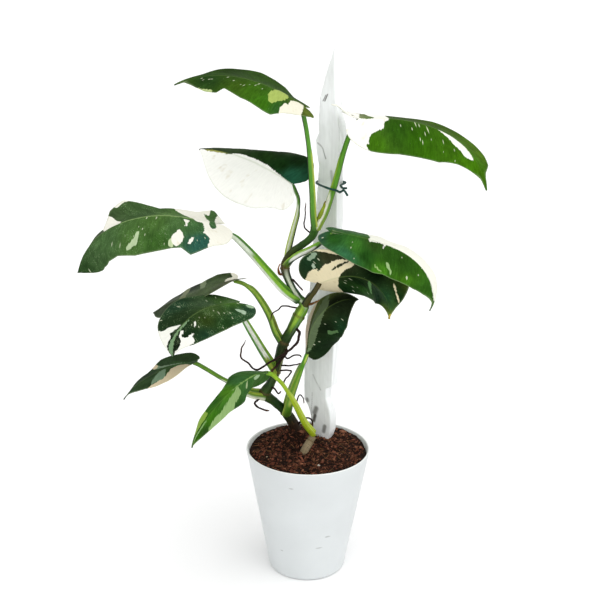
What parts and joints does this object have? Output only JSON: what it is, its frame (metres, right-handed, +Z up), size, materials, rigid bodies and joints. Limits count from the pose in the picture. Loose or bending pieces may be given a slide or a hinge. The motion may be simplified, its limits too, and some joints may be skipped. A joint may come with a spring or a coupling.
{
  "type": "potted climbing philodendron",
  "caption": "Climbing philodendron with marbled green and cream leaves, tied to a wavy white wooden stake in a tapered white pot of soil.",
  "frame": {"origin": "centre of the pot's flat foot, on the surface that it stands on", "axes": "+Z up, +X to the right and -Y towards the viewer as the picture sees the plant"},
  "size_m": [0.4251, 0.2202, 0.5883],
  "materials": {
    "pot": "satin white moulded plastic",
    "soil": "damp reddish-brown coco and bark mix",
    "stake": "white paint worn to grey wood at its cuts",
    "tie": "dark green coated wire",
    "stem": "smooth green stem with cream stripes and brown nodes",
    "stub": "dry tan-grey older stem",
    "blade": "glossy dark green marbled with cream white",
    "stalk": "smooth green with cream stripes and a yellow-green sheath",
    "root": "thin dark brown aerial root",
    "scale": "dry brown papery scale"
  },
  "bodies": {
    "root": {"pot": "pot", "soil": "soil", "stake": "stake", "tie": "tie", "main_stem": "stem", "stem_stub": "stub", "leaf_blade_01": "blade", "leaf_blade_02": "blade", "leaf_blade_03": "blade", "leaf_blade_04": "blade", "leaf_blade_05": "blade", "leaf_blade_06": "blade", "leaf_blade_07": "blade", "leaf_blade_08": "blade", "leaf_blade_09": "blade", "leaf_blade_10": "blade", "leaf_blade_11": "blade", "leaf_stalk_01": "stalk", "leaf_stalk_02": "stalk", "leaf_stalk_03": "stalk", "leaf_stalk_04": "stalk", "leaf_stalk_05": "stalk", "leaf_stalk_06": "stalk", "leaf_stalk_07": "stalk", "leaf_stalk_08": "stalk", "leaf_stalk_09": "stalk", "leaf_stalk_10": "stalk", "leaf_stalk_11": "stalk", "air_root_01": "root", "air_root_02": "root", "air_root_03": "root", "air_root_04": "root", "air_root_05": "root", "air_root_06": "root", "air_root_07": "root", "air_root_08": "root", "air_root_09": "root", "air_root_10": "root", "air_root_11": "root", "air_root_12": "root", "dry_scale_01": "scale", "dry_scale_02": "scale", "dry_scale_03": "scale"}
  },
  "joints": []
}
